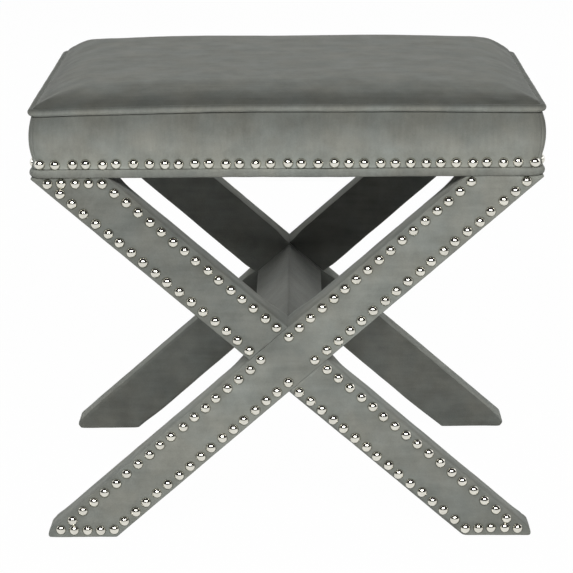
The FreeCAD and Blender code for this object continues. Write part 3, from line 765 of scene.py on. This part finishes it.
# How far a face looks up; it weights the painted light on the legs' upward faces.
def upward(vert):
    return ease((vert.normal.z - 0.15) / 0.5)


def painted_rear_leg_shade(tone, half):
    """Painted shade on the side seen from the front, most on the upper halves and about the crossing, with
    painted light on upward faces.
    """
    shaded = 0.56 if half == "upper" else 0.76

    def painted_light(vert):
        crossing = ease(1 - abs(vert.co.z - cross_height + 0.02) / 0.05)
        pile = tone * (1 + (shaded * (1 - 0.5 * crossing) - 1) * ease(-vert.normal.y * 2))
        return pile * (1 + upward(vert) * (0.25 + 0.6 * ease((vert.co.z - cross_height) / 0.06)))

    return painted_light


def painted_front_leg_light(tone, half, rising):
    """Painted light and shade: palest low down, darker along the upper edge, a through leg darker at its
    crossing and paler above, and upward faces paler.
    """
    way, across = leg_way(rising), leg_across(rising)

    def painted_light(vert):
        offset = vert.co - leg_middle
        pile = tone * (0.93 + 0.18 * ease(1 - abs(vert.co.z - 0.15) / 0.19))
        pile *= 1 - 0.14 * ease((offset.dot(across) - 0.008) / 0.018)
        if not half:
            along = offset.dot(way)
            pile *= 1 - 0.14 * ease(1 - abs(along) / 0.045) + 0.09 * ease((along - 0.03) / 0.05)
        return pile * (1 + 0.16 * upward(vert))

    return painted_light


def covered_leg(name, nodes, rising, half, tone, rear, nails, seed):
    """A velvet-covered leg, built as one of the front frame's and turned round for the rear one."""
    toe = -1 if rising else 1
    reach = rear_toe_reach if rear else toe_reach
    bm = leg_shape(rising, half, toe, reach)
    if half != "upper":
        round_toe(bm, rising, toe, reach)
    merged(bm)
    if not half:
        square_crossing(bm, rising)
    spots = nail_spots[nails]
    if rear:
        spots = [Vector((-s.x, -s.y, s.z)) for s in spots]
    pucker_leg(bm, rising, spots, seed)
    if rear:
        fill_inner_side(bm, rising)
        bmesh.ops.rotate(bm, verts=bm.verts, cent=(0, 0, 0), matrix=Matrix.Rotation(math.pi, 3, "Z"))
    else:
        tilt_upper_face(bm, rising)
    bm.normal_update()
    paint_light_and_shade(bm, painted_rear_leg_shade(tone, half) if rear else painted_front_leg_light(tone, half, rising))
    slope_seen = rising != rear
    piece = piece_from(bm, name, rising_velvet if slope_seen else falling_velvet, nodes)


# Each leg's tone is painted light and shade: the through leg paler, the upper half darker, the lower half
# between.
for place, rear, nails, seed in (("front", False, "front_leg_nails", 61),
                                 ("rear", True, "rear_leg_nails", 71)):
    covered_leg(place + "_through_leg_velvet", [place + "_long_leg_cover", place + "_long_leg_pad"],
                True, "", 1.12, rear, nails, seed)
    covered_leg(place + "_upper_leg_velvet", [place + "_upper_leg_cover", place + "_upper_leg_pad"],
                False, "upper", 0.92, rear, nails, seed + 3)
    covered_leg(place + "_lower_leg_velvet", [place + "_lower_leg_cover", place + "_lower_leg_pad"],
                False, "lower", 1.03, rear, nails, seed + 6)


# Stretcher between the crossings.


def stretcher():
    """A covered bar, square on the legs: its four faces run in line with them."""
    low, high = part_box("stretcher_cover")
    middle = (low + high) / 2
    long = high.y - low.y
    ways_across = (leg_across(True), leg_across(False))
    bm = bmesh.new()
    bmesh.ops.create_cube(bm, size=1, matrix=Matrix.Diagonal((0.2, long, 0.2, 1)))
    for across in ways_across:
        for side in (-1, 1):
            cut_away(bm, across * side * bar_across / 2, across * side)
    merged(bm)
    softened(bm, [e for e in bm.edges if abs((e.verts[0].co - e.verts[1].co).y) > long / 2],
             bar_edge_round, 4)
    sliced(bm, Vector((0, 0, 0)), depthwise, [i * 0.004 for i in range(-45, 46)])
    for across in ways_across:
        sliced(bm, Vector((0, 0, 0)), across, [i * 0.0045 for i in range(-4, 5)])
    merged(bm)
    for vert in bm.verts:
        pull = ease(1 - (long / 2 - abs(vert.co.y)) / 0.05)
        crease = (rough(vert.co, (60, 14, 60), 81) * 0.0005
                  + pull * rough(vert.co, (120, 24, 120), 83) * 0.0008)
        vert.co += vert.normal * crease * ease((long / 2 - abs(vert.co.y)) / 0.006)
    bmesh.ops.translate(bm, verts=bm.verts, vec=middle)
    bm.normal_update()
    # Painted shade: the bar is darker overall, more so on its upward faces and on the faces turned towards +x.
    paint_light_and_shade(bm, lambda v: 0.66 - 0.06 * ease(v.normal.z) - 0.12 * ease(v.normal.x * 2))
    piece = piece_from(bm, "stretcher_velvet_wrap", bar_velvet,
                       ["stretcher_cover", "stretcher_pad"])


stretcher()


# Seat cushion: a boxed form with rounded shoulders, blown up under its cover by a cloth simulation.


def crown_height(point):
    """Height of the cushion's top over its edge as it is cut: steep shoulders, then a slow dome."""
    away = [cushion_half[i] - abs(point[i]) for i in (0, 1)]
    if min(away) < 1e-6:
        return 0.0
    inward = sum(side ** -8 for side in away) ** -0.125
    steep = 1 - min(1.0, inward / shoulder_wide)
    slow = 1 - min(1.0, inward / dome_wide)
    return crown_rise * (shoulder_share * math.sqrt(1 - steep ** 2) + (1 - shoulder_share) * (1 - slow ** 2))


def inward_of(point):
    """How far a point of the cushion lies in from its nearest side."""
    return min(cushion_half.x - abs(point.x), cushion_half.y - abs(point.y))


def cushion_block(foot):
    """A slab with rounded corners and a crowned top."""
    bm = bmesh.new()
    bmesh.ops.create_grid(bm, x_segments=96, y_segments=78, size=1, matrix=Matrix.Translation(
        (0, 0, cushion_edge)) @ Matrix.Diagonal((cushion_half.x, cushion_half.y, 1, 1)))
    base = bmesh.ops.extrude_face_region(bm, geom=bm.faces[:])
    bmesh.ops.translate(bm, verts=verts_of(base["geom"]), vec=Vector((0, 0, foot - cushion_edge)))
    inner = cushion_half - Vector((cushion_corner, cushion_corner))
    for vert in bm.verts:
        over = [(abs(vert.co[i]) - inner[i]) / cushion_corner for i in (0, 1)]
        if over[0] > 0 and over[1] > 0:
            across = over[0] * math.sqrt(1 - over[1] ** 2 / 2)
            along = over[1] * math.sqrt(1 - over[0] ** 2 / 2)
            vert.co.x = math.copysign(inner.x + across * cushion_corner, vert.co.x)
            vert.co.y = math.copysign(inner.y + along * cushion_corner, vert.co.y)
        if vert.co.z > cushion_edge - 1e-5:
            vert.co.z = cushion_edge + crown_height(vert.co)
    merged(bm)
    return bm


def evened(mesh, moves, rounds):
    """Averages each point's move with its neighbours', so that no single point stands out."""
    beside = [[] for _ in moves]
    for edge in mesh.edges:
        first, last = edge.vertices
        beside[first].append(last)
        beside[last].append(first)
    for _ in range(rounds):
        moves = [(move + sum((moves[k] for k in near), Vector()) / max(1, len(near))) / 2
                 for move, near in zip(moves, beside)]
    return moves


def blown_up(block):
    """Remeshes the block, lets air pressure swell its free top, and lays the swelling on the cut shape."""
    remesh = block.modifiers.new("even_mesh", "REMESH")
    remesh.mode = "VOXEL"
    remesh.voxel_size = 0.006
    graph = bpy.context.evaluated_depsgraph_get()
    mesh = bpy.data.meshes.new_from_object(block.evaluated_get(graph))
    block.modifiers.clear()
    block.data = mesh
    rest = [v.co.copy() for v in mesh.vertices]
    moves = [Vector() for _ in rest]
    held = block.vertex_groups.new(name="sewn_edge")
    held.add([v.index for v in mesh.vertices if v.co.z < cushion_edge + 0.003], 1.0, "REPLACE")
    cloth = block.modifiers.new("air", "CLOTH")
    cloth.settings.use_pressure = True
    cloth.settings.uniform_pressure_force = 4
    cloth.settings.quality = 6
    cloth.settings.vertex_group_mass = "sewn_edge"
    cloth.settings.tension_stiffness = 20
    cloth.settings.compression_stiffness = 20
    cloth.settings.effector_weights.gravity = 0
    for step in range(1, 21):
        scene.frame_set(step)
    graph = bpy.context.evaluated_depsgraph_get()
    swollen = bpy.data.meshes.new_from_object(block.evaluated_get(graph))
    scene.frame_set(1)
    block.modifiers.clear()
    block.vertex_groups.clear()
    for i, (vert, still) in enumerate(zip(swollen.vertices, rest)):
        move = vert.co - still
        moves[i] = move.normalized() * min(move.length, cushion_swell)
    moves = evened(mesh, moves, 8)
    for vert, still, move in zip(mesh.vertices, rest, moves):
        if still.z > cushion_edge:
            on_cut = ease((inward_of(still) - 0.001) / 0.006)
            vert.co = still + move
            vert.co.z += (cushion_edge + crown_height(still) - still.z) * on_cut


def painted_seat_shade(vert):
    """Painted shade over the shoulders and out to the front corners, with painted shadow in the crease along
    the side welts.
    """
    from_front = cushion_half.y + vert.co.y
    from_side = cushion_half.x - abs(vert.co.x)
    painted_light = 0.848 - 0.365 * ease(1 - (inward_of(vert.co) - 0.007) / 0.032)
    on_side = ease((from_front - from_side) / 0.012 + 0.5)
    run_on = ease(1 - (from_front - 0.007) / 0.032) * ease((from_side - 0.008) / 0.012)
    crease = ease(1 - from_side / 0.0035)
    return painted_light * (1 - 0.28 * on_side * run_on) * (1 - 0.45 * crease)


def seat_cushion():
    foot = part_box("seat_deck")[1].z
    bm = cushion_block(foot)
    mesh = bpy.data.meshes.new("seat_cushion")
    bm.to_mesh(mesh)
    bm.free()
    block = bpy.data.objects.new("seat_cushion", mesh)
    scene.collection.objects.link(block)
    bpy.context.view_layer.update()
    blown_up(block)
    bm = bmesh.new()
    bm.from_mesh(block.data)
    bpy.data.objects.remove(block)
    bmesh.ops.smooth_vert(bm, verts=[v for v in bm.verts if v.co.z > cushion_edge + 0.004], factor=0.5,
                          use_axis_x=True, use_axis_y=True, use_axis_z=True)
    bmesh.ops.subdivide_edges(bm, edges=bm.edges, cuts=1, use_grid_fill=True, smooth=1.0)
    bm.normal_update()
    for vert in bm.verts:
        if vert.co.z > cushion_edge - 0.002:
            inward = inward_of(vert.co)
            pucker = rough(vert.co, (32, 32, 0), 91) * 0.0006 + rough(vert.co, (75, 75, 0), 93) * 0.0003
            pucker *= ease(1 - (inward - 0.006) / 0.075) * ease(inward / 0.008)
            calm = rough(vert.co, (7, 9, 0), 95) * 0.0005 + rough(vert.co, (16, 22, 0), 97) * 0.0003
            vert.co.z += pucker + calm * ease((inward - 0.01) / 0.06)
    top = max(v.co.z for v in bm.verts)
    for vert in bm.verts:
        share = (vert.co.z - foot) / (cushion_edge - foot)
        if vert.co.z > cushion_edge:
            vert.co.z = (cushion_edge
                         + (vert.co.z - cushion_edge) * (crown_top - cushion_edge) / (top - cushion_edge))
            share = ease(1 - inward_of(vert.co) / edge_pull_wide)
            vert.co.z -= side_fall * ease((abs(vert.co.x) - side_fall_from) / side_fall_wide) * (1 - share)
        pulled(vert, share)
    bmesh.ops.recalc_face_normals(bm, faces=bm.faces)
    paint_light_and_shade(bm, painted_seat_shade)
    piece = piece_from(bm, "crowned_seat_cushion", seat_velvet,
                       ["seat_cover", "seat_wadding", "seat_foam"])


seat_cushion()


# Dust cover, stretched under the rails between the leg tops.


def dust_sheet():
    low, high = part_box("dust_cover")
    half = Vector(((high.x - low.x) / 2, (high.y - low.y) / 2))
    notch = Vector((half.x - leg_notch_from[0], half.y - leg_notch_from[1]))
    bm = bmesh.new()
    bmesh.ops.create_grid(bm, x_segments=60, y_segments=48, size=1,
                          matrix=Matrix.Translation((0, 0, low.z + 0.0006))
                          @ Matrix.Diagonal((half.x, half.y, 1, 1)))
    for sign in (-1, 1):
        sliced(bm, Vector((0, 0, 0)), Vector((1, 0, 0)), [sign * (half.x - notch.x)])
        sliced(bm, Vector((0, 0, 0)), Vector((0, 1, 0)), [sign * (half.y - notch.y)])
    corners = [f for f in bm.faces if abs(f.calc_center_median().x) > half.x - notch.x
               and abs(f.calc_center_median().y) > half.y - notch.y]
    bmesh.ops.delete(bm, geom=corners, context="FACES")
    for vert in bm.verts:
        hold = ease((half.x - abs(vert.co.x)) / 0.06) * ease((half.y - abs(vert.co.y)) / 0.06)
        vert.co.z -= hold * (0.0025 + 0.0012 * rough(vert.co, (11, 13, 0), 101))
    bm.normal_update()
    piece = piece_from(bm, "dust_sheet", dust_finish, ["dust_cover"])
    thick = piece.modifiers.new("cloth_thickness", "SOLIDIFY")
    thick.thickness = 0.0004


dust_sheet()


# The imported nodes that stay: timber, deck, fastenings and glides.


def refinish(material, *names):
    for name in names:
        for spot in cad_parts[name].material_slots:
            spot.material = material


refinish(timber, "front_rail", "rear_rail", "front_long_leg", "front_lapped_leg", "rear_long_leg",
         "rear_lapped_leg", "leg_dowels", "corner_blocks")
refinish(cross_timber, "left_rail", "right_rail", "stretcher_bar", "stretcher_dowels")
refinish(plywood, "seat_deck")
refinish(hardware, "corner_screws", "deck_screws", "leg_bolts", "leg_washers", "leg_inserts",
         "stretcher_screws", "stretcher_washers")
refinish(glide_finish, "foot_glides")


# Studio.


def pale_floor():
    bm = bmesh.new()
    bmesh.ops.create_grid(bm, x_segments=4, y_segments=4, size=9, matrix=Matrix.Translation((0, 0, -0.0004)))
    mesh = bpy.data.meshes.new("studio_floor")
    bm.to_mesh(mesh)
    bm.free()
    floor = bpy.data.objects.new("studio_floor", mesh)
    scene.collection.objects.link(floor)
    material = bpy.data.materials.new("white_floor")
    material.use_nodes = True
    nodes, links = material.node_tree.nodes, material.node_tree.links
    nodes.clear()
    out = nodes.new("ShaderNodeOutputMaterial")
    matt = nodes.new("ShaderNodeBsdfDiffuse")
    matt.inputs["Color"].default_value = (0.80, 0.80, 0.80, 1)
    glow = nodes.new("ShaderNodeEmission")
    glow.inputs["Strength"].default_value = 1.0
    path = nodes.new("ShaderNodeLightPath")
    seen = greater(nodes, links, path.outputs["Is Camera Ray"], path.outputs["Is Glossy Ray"])
    shown = greater(nodes, links, seen, path.outputs["Is Transmission Ray"])
    share = nodes.new("ShaderNodeMath")
    share.operation = "MULTIPLY"
    share.inputs[1].default_value = 0.985
    links.new(shown, share.inputs[0])
    mix = nodes.new("ShaderNodeMixShader")
    links.new(share.outputs[0], mix.inputs["Fac"])
    links.new(matt.outputs[0], mix.inputs[1])
    links.new(glow.outputs[0], mix.inputs[2])
    links.new(mix.outputs[0], out.inputs["Surface"])
    mesh.materials.append(material)


def studio_air(level):
    """Dim all round, with a white backdrop behind the stool for what is seen or mirrored."""
    world = bpy.data.worlds.new("studio_air")
    scene.world = world
    world.use_nodes = True
    nodes, links = world.node_tree.nodes, world.node_tree.links
    nodes.clear()
    out = nodes.new("ShaderNodeOutputWorld")
    dim = nodes.new("ShaderNodeBackground")
    dim.inputs["Color"].default_value = (1, 1, 1, 1)
    dim.inputs["Strength"].default_value = level
    white = nodes.new("ShaderNodeBackground")
    white.inputs["Color"].default_value = (1, 1, 1, 1)
    white.inputs["Strength"].default_value = 1.0
    path = nodes.new("ShaderNodeLightPath")
    split = nodes.new("ShaderNodeSeparateXYZ")
    links.new(nodes.new("ShaderNodeTexCoord").outputs["Generated"], split.inputs[0])
    behind = nodes.new("ShaderNodeMapRange")
    behind.inputs["From Min"].default_value = -0.1
    behind.inputs["From Max"].default_value = 0.35
    links.new(split.outputs["Y"], behind.inputs["Value"])
    mirrored = greater(nodes, links, path.outputs["Is Glossy Ray"], path.outputs["Is Transmission Ray"])
    backed = nodes.new("ShaderNodeMath")
    backed.operation = "MULTIPLY"
    links.new(mirrored, backed.inputs[0])
    links.new(behind.outputs[0], backed.inputs[1])
    shown = greater(nodes, links, path.outputs["Is Camera Ray"], backed.outputs[0])
    mix = nodes.new("ShaderNodeMixShader")
    links.new(shown, mix.inputs["Fac"])
    links.new(dim.outputs[0], mix.inputs[1])
    links.new(white.outputs[0], mix.inputs[2])
    links.new(mix.outputs[0], out.inputs["Surface"])


def soft_lamp(name, place, aim, wide, high, power):
    lamp = bpy.data.lights.new(name, "AREA")
    lamp.shape = "RECTANGLE"
    lamp.size = wide
    lamp.size_y = high
    lamp.energy = power
    holder = bpy.data.objects.new(name, lamp)
    holder.location = place
    holder.rotation_euler = (Vector(aim) - Vector(place)).to_track_quat("-Z", "Y").to_euler()
    scene.collection.objects.link(holder)


def photo_camera():
    """The camera that the picture was taken with, as fitted to the lines of the legs, feet and welts."""
    lens = bpy.data.cameras.new("photo_camera")
    lens.lens = 151.5
    lens.sensor_width = 36
    holder = bpy.data.objects.new("photo_camera", lens)
    stand = Matrix.Translation((0.0134, -2.6777, 0.9244)) @ Matrix.Rotation(math.radians(0.344), 4, "Z")
    holder.matrix_world = stand @ Matrix.Rotation(math.radians(75.374), 4, "X") @ Matrix.Rotation(
        math.radians(-0.391), 4, "Z")
    scene.collection.objects.link(holder)
    scene.camera = holder


pale_floor()
studio_air(0.03)
soft_lamp("left_front_softbox", (-0.95, -3.5, 2.45), (0, 0, 0.25), 1.2, 1.2, 84)
soft_lamp("right_front_softbox", (0.95, -3.5, 2.45), (0, 0, 0.25), 1.2, 1.2, 84)
soft_lamp("left_side_softbox", (-2.3, 0.2, 1.3), (0, 0, 0.25), 0.9, 1.3, 7)
soft_lamp("right_side_softbox", (2.3, 0.2, 1.3), (0, 0, 0.25), 0.9, 1.3, 7)
soft_lamp("rear_softbox", (0, 3.3, 1.9), (0, 0, 0.3), 1.8, 1.0, 34)
photo_camera()
